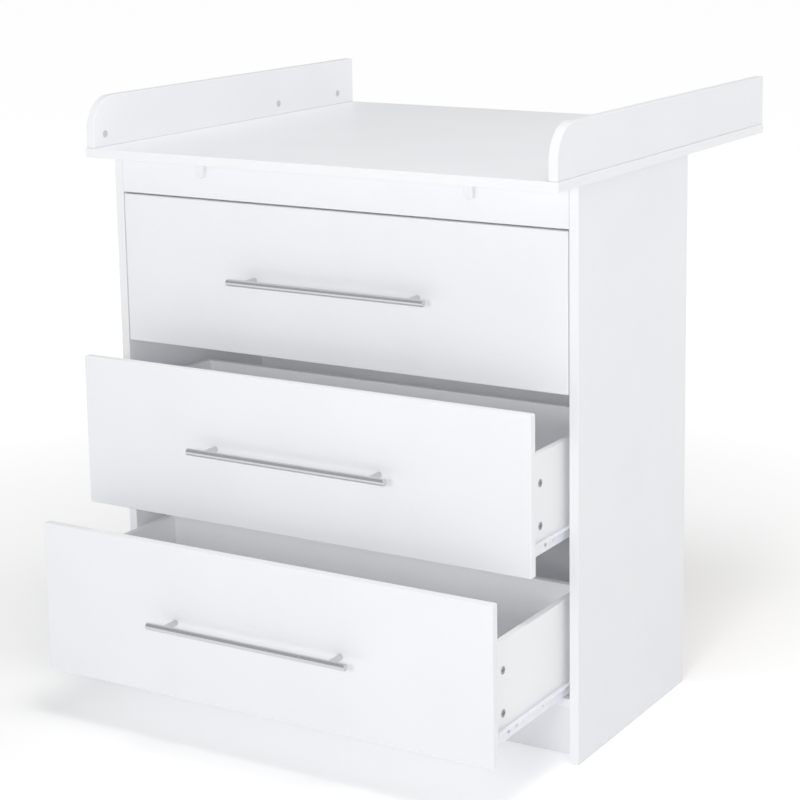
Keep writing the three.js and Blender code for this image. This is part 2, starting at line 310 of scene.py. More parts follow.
def cut_at(bm, axis, place, faces):
    """Splits faces where the plane at that place on the axis crosses them. Returns the pieces."""
    parts = list(dict.fromkeys(part for f in faces for part in (*f.verts, *f.edges, f)))
    level, normal = Vector((0, 0, 0)), Vector((0, 0, 0))
    level[axis], normal[axis] = place, 1
    cut = bmesh.ops.bisect_plane(bm, geom=parts, dist=TOUCH, plane_co=level, plane_no=normal)
    return [part for part in cut["geom"] if isinstance(part, bmesh.types.BMFace)]


def edge_with_strip(bm, low, high, side, finish):
    """Gives the outermost millimetre of one side the edging's finish. A side is such as +y."""
    axis, outward = "xyz".index(side[1]), 1 if side[0] == "+" else -1
    joint = (high if outward > 0 else low)[axis] - outward * edging_thickness
    cut_at(bm, axis, joint, bm.faces)
    for face in bm.faces:
        if (face.calc_center_median()[axis] - joint) * outward > 0:
            face.material_index = finish


def leave_raw(bm, low, high, side):
    """Shows the sawn chipboard on one side."""
    axis, outward = "xyz".index(side[1]), 1 if side[0] == "+" else -1
    end = (high if outward > 0 else low)[axis]
    for face in bm.faces:
        flat = face.normal[axis] * outward > 0.9
        if flat and abs(face.calc_center_median()[axis] - end) < 0.1 * MM:
            face.material_index = CHIPBOARD


def bare_groove(bm, axis, edges, inner, outer):
    """Shows the sawn chipboard in a groove that runs between two edges of a panel's inner face."""
    for face in bm.faces:
        middle = face.calc_center_median()
        deep, skin = abs(middle.x - inner), abs(middle.x - outer)
        in_groove = edges[0] - TOUCH < middle[axis] < edges[1] + TOUCH
        if in_groove and deep > 0.05 * MM and skin > 1 * MM:
            face.material_index = CHIPBOARD


def make_piece(name, bm, finishes, body, stands_for=()):
    """Turns a bmesh into a piece of the model that rides on a body."""
    used = sorted({face.material_index for face in bm.faces})
    for face in bm.faces:
        face.material_index = used.index(face.material_index)
        face.smooth = True
    for edge in bm.edges:
        edge.smooth = len(edge.link_faces) == 2 and edge.calc_face_angle(0) < math.radians(40)
    mesh = bpy.data.meshes.new(name)
    bm.to_mesh(mesh)
    bm.free()
    for index in used:
        mesh.materials.append(finishes[index])
    piece = bpy.data.objects.new(name, mesh)
    bpy.context.scene.collection.objects.link(piece)
    shading = piece.modifiers.new("even_shading", "WEIGHTED_NORMAL")
    shading.keep_sharp = True
    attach(piece, body)
    if stands_for:
        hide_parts(*stands_for)


back_low, back_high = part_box("back_panel")
slide_room = 0.3 * MM
for side, sign in (("left", -1), ("right", 1)):
    low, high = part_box(f"side_panel_{side}")
    outer, inner = (low.x, high.x) if sign < 0 else (high.x, low.x)
    groove_floor = (back_low.x if sign < 0 else back_high.x) + sign * slide_room
    groove_front, groove_rear = back_low.y - slide_room, back_high.y + slide_room
    outline = [
        (inner, low.y, low.z),
        (outer, low.y, low.z),
        (outer, high.y, low.z),
        (inner, high.y, low.z),
        (inner, groove_rear, low.z),
        (groove_floor, groove_rear, low.z),
        (groove_floor, groove_front, low.z),
        (inner, groove_front, low.z),
    ]
    panel = prism(outline, (0, 0, high.z - low.z))
    bevel(panel, outer_edges(panel, low, high), panel_edge_radius)
    edge_with_strip(panel, low, high, "+z", EDGING_Y)
    edge_with_strip(panel, low, high, "-y", EDGING_Z)
    leave_raw(panel, low, high, "-z")
    leave_raw(panel, low, high, "+y")
    bare_groove(panel, 1, (groove_front, groove_rear), inner, outer)
    make_piece(
        f"{side}_side_panel",
        panel,
        panel_finishes,
        "chest",
        [f"side_panel_{side}"],
    )

# ---------------------------------------------------------------- rails, bottom and top panel
# Boards of the same white chipboard between the side panels, held by dowels and cam locks. The
# rail over the top drawer and the front of the bottom panel are edged where they show.


def panel_piece(name, node, strips, raw):
    """A rounded board with edging strips on some sides and raw saw cuts on others."""
    low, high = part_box(node)
    bm = block(low, high)
    bevel(bm, bm.edges, panel_edge_radius)
    for side, finish in strips.items():
        edge_with_strip(bm, low, high, side, finish)
    for side in raw:
        leave_raw(bm, low, high, side)
    make_piece(name, bm, panel_finishes, "chest", [node])


panel_piece("rail_over_drawers", "front_rail", {"-z": EDGING_X}, ("-x", "+x", "+z"))
panel_piece("top_panel", "carcass_top_panel", {"-y": EDGING_X}, ("-x", "+x", "+y"))
panel_piece("base_panel", "bottom_panel", {"-y": EDGING_X}, ("-x", "+x", "+y"))
panel_piece("plinth", "plinth_board", {}, ("-x", "+x", "-z"))

# ---------------------------------------------------------------- back panel
# A 3 mm sheet of hardboard in the grooves of the side panels, lacquered white towards the drawers
# and bare behind, nailed to the edges of the top and bottom panels.


# Lacquered hardboard: a roller coat of white lacquer over pressed fibre. It is slightly greyer
# than the melamine, silky, with a faint orange peel from the roller about 3 mm across.
def lacquered_hardboard():
    finish, tree, shader, place = new_finish("lacquered_hardboard", IOR=1.5)
    peel = add_node(tree, "ShaderNodeTexNoise", {"Scale": 280, "Detail": 2}, {"Vector": place})
    cloudy = add_node(tree, "ShaderNodeTexNoise", {"Scale": 12, "Detail": 4}, {"Vector": place})
    lay_surface(
        tree,
        shader,
        ("#EFF0F2", "#E8E9EC", cloudy.outputs["Fac"]),
        (0.42, 0.55, peel.outputs["Fac"]),
        (0.3, 0.1 * MM, peel.outputs["Fac"]),
    )
    return finish


# Bare hardboard: brown wood fibre pressed wet on a wire screen. The eye gets a dull mid brown
# with fine fibres, and the screen's square print, 1.3 mm on the sheet and 4 mm here so it shows.
def bare_hardboard():
    finish, tree, shader, place = new_finish("bare_hardboard", IOR=1.5)
    fibre = add_node(
        tree, "ShaderNodeTexNoise", {"Scale": 190, "Detail": 8, "Roughness": 0.7}, {"Vector": place}
    )
    ramp = add_node(tree, "ShaderNodeValToRGB", {}, {"Fac": fibre.outputs["Fac"]})
    ramp.color_ramp.elements[0].position = 0.3
    ramp.color_ramp.elements[0].color = linear("#7A5B3E")
    ramp.color_ramp.elements[1].position = 0.72
    ramp.color_ramp.elements[1].color = linear("#A9835B")
    wires = [
        add_node(
            tree,
            "ShaderNodeTexWave",
            {"wave_type": "BANDS", "bands_direction": axis, "Scale": 12.5, "Distortion": 0},
            {
                "Vector": add_node(
                    tree, "ShaderNodeMapping", {"Scale": (6, 6, 6)}, {"Vector": place}
                ).outputs["Vector"]
            },
        ).outputs["Fac"]
        for axis in ("X", "Z")
    ]
    screen = add_node(tree, "ShaderNodeMath", {"operation": "MULTIPLY"}, {0: wires[0], 1: wires[1]})
    relief = add_node(
        tree,
        "ShaderNodeBump",
        {"Strength": 0.5, "Distance": 0.0002},
        {"Height": screen.outputs[0]},
    )
    rough = add_node(
        tree,
        "ShaderNodeMapRange",
        {"From Min": 0.3, "From Max": 0.7, "To Min": 0.7, "To Max": 0.9},
        {"Value": fibre.outputs["Fac"]},
    )
    tree.links.new(ramp.outputs["Color"], shader.inputs["Base Color"])
    tree.links.new(rough.outputs["Result"], shader.inputs["Roughness"])
    tree.links.new(relief.outputs["Normal"], shader.inputs["Normal"])
    return finish


hardboard_finishes = [lacquered_hardboard(), bare_hardboard()]


def hardboard_sheet(low, high):
    """A lacquered sheet with slightly eased edges."""
    bm = block(low, high)
    bevel(bm, bm.edges, 0.4 * MM, 2)
    return bm


back_sheet = hardboard_sheet(back_low, back_high)
for face in back_sheet.faces:
    face.material_index = int(face.normal.y > 0.9)
make_piece(
    "back_sheet",
    back_sheet,
    hardboard_finishes,
    "chest",
    ["back_panel"],
)


# Zinc-plated steel: drawn or cold-headed, then plated bright. The eye gets a cool silver with
# a mottled gloss and fine forming marks under 1 mm.
def zinc_plate():
    finish, tree, shader, place = new_finish("zinc_plated_steel", Metallic=1.0)
    mottle = add_node(tree, "ShaderNodeTexNoise", {"Scale": 700, "Detail": 3}, {"Vector": place})
    lay_surface(
        tree,
        shader,
        ("#C9CDD1", "#A9AEB4", mottle.outputs["Fac"]),
        (0.25, 0.42, mottle.outputs["Fac"]),
        (0.2, 0.05 * MM, mottle.outputs["Fac"]),
    )
    return finish


zinc_plated = zinc_plate()


def add_rod(bm, radius, length, sides, place):
    """Adds a round rod, along Z before the matrix places it. Returns its vertices."""
    made = bmesh.ops.create_cone(
        bm,
        cap_ends=True,
        segments=sides,
        radius1=radius,
        radius2=radius,
        depth=length,
        matrix=place,
    )
    return made["verts"]


def stud(radius, height, chamfer, sides=24):
    """A short round head standing on Z = 0, with its upper rim rounded."""
    bm = bmesh.new()
    add_rod(bm, radius, height, sides, Matrix.Translation((0, 0, height / 2)))
    rim = [e for e in bm.edges if all(v.co.z > height * 0.99 for v in e.verts)]
    bevel(bm, rim, chamfer, 2)
    return bm


def kept_mesh(name, bm):
    mesh = bpy.data.meshes.new(name)
    bm.to_mesh(mesh)
    bm.free()
    return mesh


def stamp(bm, mesh, place, outward):
    """Adds a copy of a mesh at a place, with its +Z turned to point outward."""
    before = len(bm.verts)
    bm.from_mesh(mesh)
    bm.verts.ensure_lookup_table()
    turn = Vector(outward).to_track_quat("Z", "Y").to_matrix().to_4x4()
    bmesh.ops.transform(bm, matrix=Matrix.Translation(place) @ turn, verts=bm.verts[before:])


nail_head = kept_mesh("nail_head", stud(1.6 * MM, 0.6 * MM, 0.25 * MM, 12))
nails = bmesh.new()
base_low, base_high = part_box("bottom_panel")
top_low, top_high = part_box("carcass_top_panel")
nails_in_row = 7
first_nail, last_nail = base_low.x + 40 * MM, base_high.x - 40 * MM
for z in ((base_low.z + base_high.z) / 2, (top_low.z + top_high.z) / 2):
    for step in range(nails_in_row):
        x = first_nail + step * (last_nail - first_nail) / (nails_in_row - 1)
        stamp(nails, nail_head, (x, back_high.y, z), (0, 1, 0))
make_piece("back_sheet_nails", nails, [zinc_plated], "chest")

# ---------------------------------------------------------------- cam locks of the chest
# Die-cast zinc discs, 13.6 mm across, sunk in bores in the hidden faces. A quarter turn with a
# cross-head driver pulls the head of a steel dowel tight.


# Zinc die-cast: shot into a steel mould and tumbled. The eye gets a darker, duller grey than
# plated steel, with a fine sandy grain.
def zinc_die_cast():
    finish, tree, shader, place = new_finish("zinc_die_cast", Metallic=1.0)
    grain = add_node(tree, "ShaderNodeTexNoise", {"Scale": 1100, "Detail": 4}, {"Vector": place})
    lay_surface(
        tree,
        shader,
        ("#A5A8AB", "#7F8388", grain.outputs["Fac"]),
        (0.38, 0.6, grain.outputs["Fac"]),
        (0.35, 0.1 * MM, grain.outputs["Fac"]),
    )
    return finish


die_cast = zinc_die_cast()


# The recess that the driver turns is 4 to 6 mm deep in the real part and a fraction of that here,
# so its floor gets painted shade for the missing depth: nearly black, in clots under 1 mm.
def painted_recess_shade():
    finish, tree, shader, place = new_finish("painted_recess_shade", IOR=1.47)
    clots = add_node(tree, "ShaderNodeTexNoise", {"Scale": 1300, "Detail": 3}, {"Vector": place})
    lay_surface(
        tree,
        shader,
        ("#30353A", "#1B1E22", clots.outputs["Fac"]),
        (0.4, 0.7, clots.outputs["Fac"]),
    )
    return finish


# Painted shade for the floors of the shallow cross recesses in cams and screws.
recess_shade = painted_recess_shade()


RECESS = 1


def sink(bm, faces, depth, finish):
    """Presses faces in by a vector, and gives the recess a finish of its own."""
    sunk = verts_of(bmesh.ops.extrude_face_region(bm, geom=faces)["geom"])
    bmesh.ops.translate(bm, vec=depth, verts=sunk)
    bmesh.ops.delete(bm, geom=[f for f in faces if f.is_valid], context="FACES_ONLY")
    for vert in sunk:
        for face in vert.link_faces:
            face.material_index = finish


def cross_head(radius, height, chamfer, rim, arm, depth, sides=32):
    """A round head with a cross recess: rim wide round it, arms that wide and that deep."""
    bm = stud(radius, height, chamfer, sides)
    top = max(bm.faces, key=lambda f: f.calc_center_median().z)
    bmesh.ops.inset_region(bm, faces=[top], thickness=rim)
    top = max(bm.faces, key=lambda f: (round(f.calc_center_median().z, 7), len(f.verts)))
    inner = [top]
    for axis in range(2):
        for place in (-arm / 2, arm / 2):
            inner = cut_at(bm, axis, place, inner)
    arms = []
    for face in inner:
        middle = face.calc_center_median()
        if min(abs(middle.x), abs(middle.y)) < arm / 2:
            arms.append(face)
    cross = bmesh.ops.dissolve_faces(bm, faces=arms)["region"]
    # The sunk cross takes slot RECESS, which carries the painted recess shade.
    sink(bm, cross, (0, 0, -depth), RECESS)
    bmesh.ops.recalc_face_normals(bm, faces=bm.faces)
    return bm


cam_proud = 0.4 * MM
cam_face = kept_mesh(
    "cam_face", cross_head(6.8 * MM, cam_proud, 0.15 * MM, 1.7 * MM, 2.8 * MM, 0.35 * MM)
)
cam_from_joint = 34 * MM
cam_from_end = 60 * MM
chest_cams = bmesh.new()
for sign in (-1, 1):
    x = sign * (base_high.x - cam_from_joint)
    for low, high in ((base_low, base_high), (top_low, top_high)):
        for y in (low.y + cam_from_end, high.y - cam_from_end):
            stamp(chest_cams, cam_face, (x, y, low.z), (0, 0, -1))
    for low, high in (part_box("front_rail"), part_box("plinth_board")):
        stamp(chest_cams, cam_face, (x, high.y, (low.z + high.z) / 2), (0, 1, 0))
make_piece("chest_cam_locks", chest_cams, [die_cast, recess_shade], "chest")

# ---------------------------------------------------------------- changing board and side boards
# The changing unit lifts off the chest. Its board is the same melamine chipboard, edged all
# round, and its two side boards stand on it. The front top corner of each is sawn to a large
# radius before the edging goes on. Grey caps close the bores of the cam locks on the inner faces.


# Moulded polyethylene: waxy, slightly clear at its edges, with a spark-eroded skin of pits about
# 0.2 mm across, drawn at 0.8 mm.
def polyethylene(name, light, dark):
    finish, tree, shader, place = new_finish(
        name,
        IOR=1.51,
        Subsurface_Weight=0.25,
        Subsurface_Radius=(0.003, 0.003, 0.003),
        Subsurface_Scale=1.0,
    )
    pits = add_node(tree, "ShaderNodeTexNoise", {"Scale": 1200, "Detail": 3}, {"Vector": place})
    lay_surface(
        tree,
        shader,
        (light, dark, pits.outputs["Fac"]),
        (0.4, 0.55, pits.outputs["Fac"]),
        (0.3, 0.1 * MM, pits.outputs["Fac"]),
    )
    return finish


low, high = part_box("changing_board")
surface_z = high.z
deck = block(low, high)
bevel(deck, deck.edges, panel_edge_radius)
for side, finish in (("-x", EDGING_Y), ("+x", EDGING_Y), ("-y", EDGING_X), ("+y", EDGING_X)):
    edge_with_strip(deck, low, high, side, finish)
make_piece(
    "changing_deck", deck, panel_finishes, "chest", ["changing_board"]
)

side_board_corner = 57 * MM
cap_plastic = polyethylene("grey_polyethylene", "#B4B7BB", "#A6AAAE")
cap = kept_mesh("cover_cap", stud(6.2 * MM, cam_proud, 0.2 * MM))
cap_places_y = (30 * MM, 545 * MM, 750 * MM)
cap_height = 21.5 * MM
caps = bmesh.new()
for side, sign in (("left", -1), ("right", 1)):
    low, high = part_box(f"changing_side_board_{side}")
    guard = block(low, high)
    corner = [
        e
        for e in guard.edges
        if all(v.co.y < low.y + TOUCH and v.co.z > high.z - TOUCH for v in e.verts)
    ]
    bevel(guard, corner, side_board_corner, 20)
    bevel(guard, sharp_edges(guard), panel_edge_radius)
    broad = [f for f in guard.faces if abs(f.normal.x) > 0.99 and f.calc_area() > 0.01]
    bmesh.ops.inset_individual(guard, faces=broad, thickness=edging_thickness - 0.5 * MM)
    broad = {f for f in guard.faces if abs(f.normal.x) > 0.99 and f.calc_area() > 0.01}
    for face in guard.faces:
        if face not in broad:
            face.material_index = EDGING_Y
    make_piece(
        f"{side}_changing_guard",
        guard,
        panel_finishes,
        "chest",
        [f"changing_side_board_{side}"],
    )
    inner = high.x if sign < 0 else low.x
    for y in cap_places_y:
        stamp(caps, cap, (inner, low.y + y, surface_z + cap_height), (-sign, 0, 0))
make_piece("guard_cover_caps", caps, [cap_plastic], "chest")

# ---------------------------------------------------------------- stop blocks
# Four moulded polyethylene blocks, screwed under the changing board. They hang over the front
# and the rear of the chest and keep the changing unit from sliding.

stop_plastic = polyethylene("milky_polyethylene", "#E4E6E8", "#D8DBDE")
block_screw = kept_mesh(
    "block_screw", cross_head(3.2 * MM, 1.2 * MM, 0.7 * MM, 0.5 * MM, 0.9 * MM, 0.9 * MM, 20)
)
block_screws = bmesh.new()
for place in ("front", "rear"):
    for side in ("left", "right"):
        node = f"stop_block_{place}_{side}"
        low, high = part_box(node)
        stamp(block_screws, block_screw, (*((low + high) / 2).xy, low.z), (0, 0, -1))
        stop = block(low, high)
        foot = [e for e in stop.edges if any(v.co.z < low.z + TOUCH for v in e.verts)]
        bevel(stop, foot, 2.0 * MM, 4)
        bevel(stop, sharp_edges(stop), 0.4 * MM, 2)
        make_piece(
            f"{place}_{side}_stop", stop, [stop_plastic], "chest", [node]
        )
make_piece("stop_block_screws", block_screws, [zinc_plated, recess_shade], "chest")

# ---------------------------------------------------------------- drawer fronts
# The fronts are 16 mm melamine board with thicker edging, rounded to 2 mm all round. A stopped
# groove in the rear face takes the drawer bottom, and two screws hold the handle from behind.

front_edge_radius = 2.0 * MM
drawer_names = ("top", "middle", "bottom")
pan_head = kept_mesh(
    "pan_head", cross_head(4.0 * MM, 2.4 * MM, 1.1 * MM, 0.6 * MM, 1.1 * MM, 1.3 * MM, 24)
)


def groove(bm, face, cuts, depth):
    """Sinks the part of a flat face that lies between pairs of cuts on two axes."""
    inner = [face]
    for axis, places in cuts.items():
        for place in places:
            inner = cut_at(bm, axis, place, inner)
    bed = [
        f
        for f in inner
        if all(p[0] < f.calc_center_median()[axis] < p[1] for axis, p in cuts.items())
    ]
    sink(bm, bed, depth, CHIPBOARD)


for name in drawer_names:
    low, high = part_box(f"drawer_{name}_front")
    sheet_low, sheet_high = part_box(f"drawer_{name}_bottom")
    bm = block(low, high)
    bevel(bm, bm.edges, front_edge_radius, 5)
    broad = [f for f in bm.faces if abs(f.normal.y) > 0.99 and f.calc_area() > 0.1]
    for face in bm.faces:
        if face not in broad:
            face.material_index = EDGING_X if abs(face.normal.x) < 0.5 else EDGING_Z
    rear = next(f for f in broad if f.normal.y > 0)
    groove(
        bm,
        rear,
        {
            0: (sheet_low.x - slide_room, sheet_high.x + slide_room),
            2: (sheet_low.z - slide_room, sheet_high.z + slide_room),
        },
        (0, sheet_low.y - slide_room - high.y, 0),
    )
    make_piece(
        f"{name}_drawer_front",
        bm,
        panel_finishes,
        f"drawer_{name}",
        [f"drawer_{name}_front"],
    )

# ---------------------------------------------------------------- drawer boxes
# Two walls and a back of 12 mm chipboard wrapped in white foil, with raw ends. A hardboard
# bottom, white on both sides, slides into grooves from behind. Cam locks in the walls pull the
# front on, and long screws through the walls hold the back.

box_finishes = [
    melamine("foil_wrapped_chipboard", "#F1F2F3", "#EBECEE"),
    *panel_finishes[1:],
]
confirmat_head = kept_mesh(
    "confirmat_head", cross_head(3.6 * MM, 0.5 * MM, 0.2 * MM, 1.1 * MM, 1.2 * MM, 0.4 * MM, 24)
)
cam_heights = (70 * MM, 139 * MM)
screw_heights = (60 * MM, 105 * MM, 150 * MM)
post_inset = 32 * MM  # from the end of a handle's bar to the middle of its post
for name in drawer_names:
    body = f"drawer_{name}"
    front_low, front_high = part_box(f"drawer_{name}_front")
    sheet_low, sheet_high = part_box(f"drawer_{name}_bottom")
    back_wall_low, back_wall_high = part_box(f"drawer_{name}_back")
    cams, screws = bmesh.new(), bmesh.new()
    for side, sign in (("left", -1), ("right", 1)):
        node = f"drawer_{name}_wall_{side}"
        low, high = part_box(node)
        outer, inner = (low.x, high.x) if sign < 0 else (high.x, low.x)
        floor_x = (sheet_low.x if sign < 0 else sheet_high.x) + sign * slide_room
        slit_low, slit_high = sheet_low.z - slide_room, sheet_high.z + slide_room
        outline = [
            (inner, low.y, low.z),
            (outer, low.y, low.z),
            (outer, low.y, high.z),
            (inner, low.y, high.z),
            (inner, low.y, slit_high),
            (floor_x, low.y, slit_high),
            (floor_x, low.y, slit_low),
            (inner, low.y, slit_low),
        ]
        wall = prism(outline, (0, high.y - low.y, 0))
        long_edges = [
            e
            for e in outer_edges(wall, low, high)
            if abs(e.verts[0].co.y - e.verts[1].co.y) > 100 * MM
        ]
        bevel(wall, long_edges, 1.2 * MM, 4)
        for raw_side in ("-y", "+y"):
            leave_raw(wall, low, high, raw_side)
        bare_groove(wall, 2, (slit_low, slit_high), inner, outer)
        make_piece(f"{name}_drawer_{side}_wall", wall, box_finishes, body, [node])
        for height in cam_heights:
            spot = (outer, front_high.y + cam_from_joint, front_low.z + height)
            stamp(cams, cam_face, spot, (sign, 0, 0))
        for height in screw_heights:
            spot = (outer, (back_wall_low.y + back_wall_high.y) / 2, front_low.z + height)
            stamp(screws, confirmat_head, spot, (sign, 0, 0))
    handle_low, handle_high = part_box(f"drawer_{name}_handle")
    for x in (handle_low.x + post_inset, handle_high.x - post_inset):
        spot = (x, front_high.y, (handle_low.z + handle_high.z) / 2)
        stamp(screws, pan_head, spot, (0, 1, 0))
    make_piece(f"{name}_drawer_cam_locks", cams, [die_cast, recess_shade], body)
    make_piece(f"{name}_drawer_screws", screws, [zinc_plated, recess_shade], body)

    back_wall = block(back_wall_low, back_wall_high)
    bevel(back_wall, back_wall.edges, 0.8 * MM)
    for raw_side in ("-x", "+x"):
        leave_raw(back_wall, back_wall_low, back_wall_high, raw_side)
    make_piece(
        f"{name}_drawer_back_wall",
        back_wall,
        box_finishes,
        body,
        [f"drawer_{name}_back"],
    )
    make_piece(
        f"{name}_drawer_base",
        hardboard_sheet(sheet_low, sheet_high),
        hardboard_finishes,
        body,
        [f"drawer_{name}_bottom"],
    )

# ---------------------------------------------------------------- handles
# A 12 mm stainless steel bar on two 10 mm posts, whose ends are cut to the bar's curve. The bar
# is ground between wheels, so its fine lines run round it, and its ends are faced and chamfered.


# Brushed stainless steel: the lines are hair fine, 0.1 mm, and drawn 1.5 mm apart along the bar.
# The eye gets a cool mid grey with a long soft highlight that breaks into rings.
def brushed_stainless():
    finish, tree, shader, place = new_finish("brushed_stainless_steel", Metallic=1.0)
    rings = add_node(
        tree,
        "ShaderNodeTexNoise",
        {"Scale": 1, "Detail": 4, "Roughness": 0.7},
        {
            "Vector": add_node(
                tree, "ShaderNodeMapping", {"Scale": (700, 30, 30)}, {"Vector": place}
            ).outputs["Vector"]
        },
    )
    lay_surface(
        tree,
        shader,
        ("#CDD0D3", "#A9ADB1", rings.outputs["Fac"]),
        (0.17, 0.28, rings.outputs["Fac"]),
        (0.25, 0.03 * MM, rings.outputs["Fac"]),
    )
    return finish


stainless = brushed_stainless()
bar_radius = 6.0 * MM
post_radius = 5.0 * MM
for name in drawer_names:
    node = f"drawer_{name}_handle"
    low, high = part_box(node)
    front_low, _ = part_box(f"drawer_{name}_front")
    bar_y, bar_z = low.y + bar_radius, (low.z + high.z) / 2
    bm = bmesh.new()
    lying = Matrix.Translation((0, bar_y, bar_z)) @ Matrix.Rotation(math.pi / 2, 4, "Y")
    add_rod(bm, bar_radius, high.x - low.x, 48, lying)
    bevel(bm, sharp_edges(bm), 0.8 * MM)
    ends = [f for f in bm.faces if abs(f.normal.x) > 0.99]
    bmesh.ops.inset_individual(bm, faces=ends, thickness=3.4 * MM, depth=-0.25 * MM)
    for x in (low.x + post_inset, high.x - post_inset):
        length = front_low.y - bar_y
        middle = Matrix.Translation((x, bar_y + length / 2, bar_z))
        across = middle @ Matrix.Rotation(math.pi / 2, 4, "X")
        post = add_rod(bm, post_radius, length, 32, across)
        saddle = [v for v in post if v.co.y < bar_y + TOUCH]
        foot = {e for v in post if v not in saddle for e in v.link_edges}
        for vert in saddle:
            vert.co.y = bar_y + math.sqrt(bar_radius**2 - (vert.co.z - bar_z) ** 2) - 0.1 * MM
        foot = [e for e in foot if all(v.co.y > front_low.y - TOUCH for v in e.verts)]
        bevel(bm, foot, 0.4 * MM, 2)
    make_piece(
        f"{name}_drawer_bar_handle", bm, [stainless], f"drawer_{name}", [node]
    )

# ---------------------------------------------------------------- runners
# Roller runners of 1.2 mm steel strip, punched, folded and coated with white epoxy powder. A
# channel is screwed to the side panel, and a profile hooks under and beside the drawer wall.
# Each carries one roller on a riveted pin.


# Epoxy powder coat on steel: sprayed dry and baked. The eye gets a cold white gloss with an
# orange peel about 1 mm across, drawn at 2.5 mm.
def epoxy_coated_steel():
    finish, tree, shader, place = new_finish(
        "epoxy_coated_steel", IOR=1.55, Coat_Weight=0.3, Coat_Roughness=0.12
    )
    peel = add_node(
        tree, "ShaderNodeTexVoronoi", {"Scale": 400, "feature": "SMOOTH_F1"}, {"Vector": place}
    )
    drift = add_node(tree, "ShaderNodeTexNoise", {"Scale": 35, "Detail": 3}, {"Vector": place})
    lay_surface(
        tree,
        shader,
        ("#E8ECF4", "#DDE3EE", drift.outputs["Fac"]),
        (0.24, 0.36, drift.outputs["Fac"]),
        (0.25, 0.1 * MM, peel.outputs["Distance"]),
    )
    return finish


coated_steel = epoxy_coated_steel()
strip = 1.2 * MM
fold_outside = 2.0 * MM
fold_inside = fold_outside - strip
hole_radius = 2.2 * MM
slot_length = 5.0 * MM
hole_from_end = 45 * MM
hole_to_slot = 26 * MM


def upright_faces(bm):
    return [f for f in bm.faces if abs(f.normal.x) > 0.99]


def punch(bm, middle, radius, slot):
    """Cuts one round or slotted hole in an upright face that runs along Y. middle is (y, z)."""
    half = Vector((radius + slot / 2 + 1.5 * MM, radius + 1.5 * MM))
    for axis in range(2):
        for place in (middle[axis] - half[axis], middle[axis] + half[axis]):
            web = [
                f
                for f in upright_faces(bm)
                if all(
                    min(v.co[k + 1] for v in f.verts)
                    < middle[k]
                    < max(v.co[k + 1] for v in f.verts)
                    for k in range(2)
                )
            ]
            cut_at(bm, axis + 1, place, web)

    def from_middle(face):
        return (face.calc_center_median().yz - middle).length

    cell = min(upright_faces(bm), key=from_middle)
    bmesh.ops.bisect_edges(bm, edges=cell.edges[:], cuts=3)
    bmesh.ops.inset_individual(bm, faces=[cell], thickness=0.6 * MM)
    cell = min((f for f in upright_faces(bm) if len(f.verts) == 16), key=from_middle)
    for vert in cell.verts:
        y, z = vert.co.yz - middle
        away = Vector((y / half.x, z / half.y)).normalized() * radius
        shift = math.copysign(slot / 2, y) if abs(y) > 0.01 * MM else 0
        vert.co.yz = middle + away + Vector((shift, 0))
    bmesh.ops.delete(bm, geom=[cell], context="FACES")


def folded_strip(path, folds, start_y, end_y, holes):
    """Steel strip with that section, folded at some of its points and punched through its web."""
    bm = bmesh.new()
    verts = [bm.verts.new((x, start_y, z)) for x, z in path]
    edges = [bm.edges.new(pair) for pair in zip(verts, verts[1:])]
    grown = bmesh.ops.extrude_edge_only(bm, edges=edges)["geom"]
    bmesh.ops.translate(bm, vec=(0, end_y - start_y, 0), verts=verts_of(grown))
    for (x, z), radius in folds.items():
        fold = [
            e
            for e in bm.edges
            if all(abs(v.co.x - x) < TOUCH and abs(v.co.z - z) < TOUCH for v in e.verts)
        ]
        bevel(bm, fold, radius, 4)
    for y, z, slot in holes:
        punch(bm, Vector((y, z)), hole_radius, slot)
    bmesh.ops.recalc_face_normals(bm, faces=bm.faces)
    lowest = min(bm.faces, key=lambda f: f.calc_center_median().z)
    if lowest.normal.z > 0:
        bmesh.ops.reverse_faces(bm, faces=bm.faces)
    return bm


def turned(bm, profile, y, z):
    """Adds a body turned about a line along X at that height. The profile is (x, radius)."""
    verts = [bm.verts.new((x, y, z + radius)) for x, radius in profile]
    edges = [bm.edges.new(pair) for pair in zip(verts, verts[1:])]
    if profile[0][1] > 0 and profile[-1][1] > 0:
        edges.append(bm.edges.new((verts[-1], verts[0])))
    bmesh.ops.spin(
        bm,
        geom=verts + edges,
        cent=(0, y, z),
        axis=(1, 0, 0),
        dvec=(0, 0, 0),
        angle=2 * math.pi,
        steps=32,
        use_merge=True,
        use_duplicate=False,
    )


body_of_node = {
    node: body for body, nodes in frame["record"]["behaviour"]["bodies"].items() for node in nodes
}
runner_screw = kept_mesh(
    "runner_screw", cross_head(3.9 * MM, 1.0 * MM, 0.6 * MM, 0.9 * MM, 1.1 * MM, 0.7 * MM, 24)
)


PIN = 1


def add_pin(bm, web_x, head_x, y, z):
    """A riveted pin with a flat head, from a web to head_x."""
    step = math.copysign(0.6 * MM, head_x - web_x)
    before = set(bm.faces)
    turned(
        bm,
        [
            (web_x, 0),
            (web_x, 2.0 * MM),
            (head_x - step, 2.0 * MM),
            (head_x - step, 3.6 * MM),
            (head_x - step / 4, 3.6 * MM),
            (head_x, 3.1 * MM),
            (head_x, 0),
        ],
        y,
        z,
    )
    for face in set(bm.faces) - before:
        face.material_index = PIN


